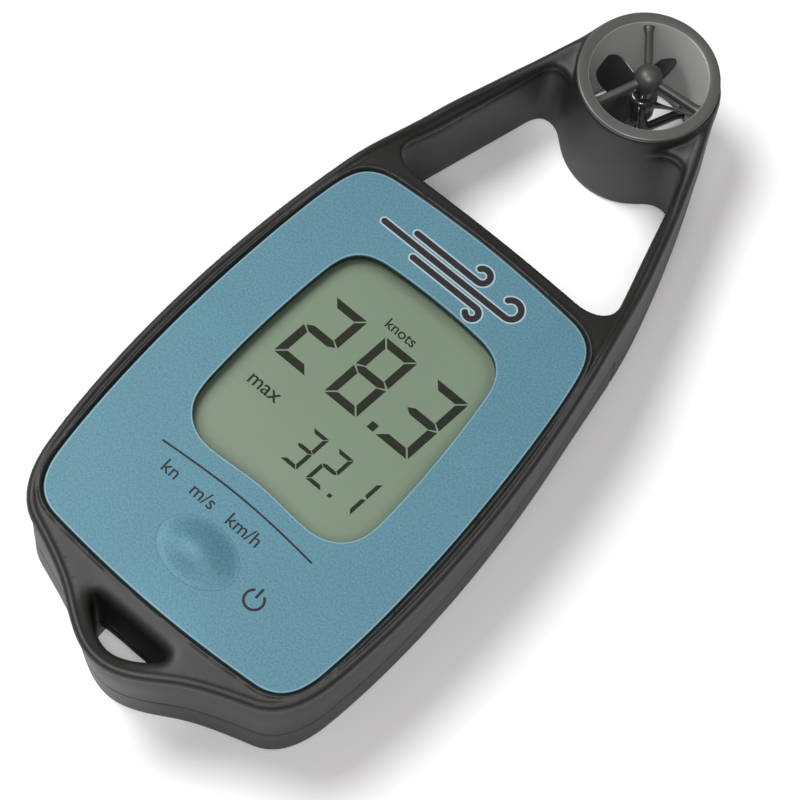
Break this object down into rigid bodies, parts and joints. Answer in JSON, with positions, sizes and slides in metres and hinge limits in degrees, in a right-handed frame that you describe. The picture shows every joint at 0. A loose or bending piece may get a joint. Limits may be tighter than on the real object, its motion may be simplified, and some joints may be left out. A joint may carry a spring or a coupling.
{
  "type": "handheld wind meter",
  "caption": "Palm-sized wind meter with a vane turbine on two arms above a body with a display, one domed key, a coin-cell cover and a lanyard loop.",
  "frame": {"origin": "under the middle of the part, on the surface its back lies on", "axes": "+Z out of the display face, +Y from the lanyard loop to the turbine, +X to the right of the display"},
  "size_m": [0.0576, 0.1355, 0.0241],
  "materials": {
    "housing": "fine matt texture",
    "cartridge": "smooth satin",
    "overlay": "satin film with a fine metallic grain",
    "clear": "clear polished",
    "panel": "liquid crystal cell",
    "black": "glossy",
    "seal": "matt",
    "board": "solder resist",
    "chip": "moulded",
    "steel": "turned",
    "plated": "plated spring strip",
    "terminal": "plain",
    "magnet": "sintered, nickel plated"
  },
  "bodies": {
    "case": {"front_housing": "housing", "rear_housing": "housing", "housing_seal": "seal", "housing_screw_1": "steel", "housing_screw_2": "steel", "housing_screw_3": "steel", "housing_screw_4": "steel", "face_overlay": "overlay", "display_window": "clear", "key_switch": "black", "lcd_panel": "panel", "lcd_carrier": "black", "zebra_strip_upper": "seal", "zebra_strip_lower": "seal", "main_board": "board", "controller_chip": "chip", "quartz_crystal": "plated", "capacitor_1": "terminal", "capacitor_2": "terminal", "capacitor_3": "terminal", "rotor_sensor": "chip", "sensor_lead": "seal", "coin_cell": "steel", "battery_contact_negative": "plated", "battery_contact_positive": "plated", "turbine_sleeve": "cartridge", "upper_spider": "cartridge", "lower_spider": "cartridge", "upper_bearing": "steel", "lower_bearing": "steel"},
    "rotor": {"impeller": "black", "impeller_shaft": "steel", "rotor_magnet": "magnet"},
    "key": {"mode_button": "overlay", "button_plunger": "black"},
    "cover": {"battery_cover": "housing", "battery_cover_seal": "seal"}
  },
  "joints": [
    {"name": "rotor_spin", "type": "hinge", "parent": "case", "child": "rotor", "pos_m": [0, 0.0567, 0.0135], "axis": [0, 0, 1], "continuous": true},
    {"name": "key_press", "type": "slide", "parent": "case", "child": "key", "axis": [0, 0, -1], "range_m": [0, 0.0006], "stiffness_N_per_m": 800},
    {"name": "cover_turn", "type": "hinge", "parent": "case", "child": "cover", "pos_m": [0, -0.022, 0.001], "axis": [0, 0, -1], "range_deg": [0, 60]}
  ]
}
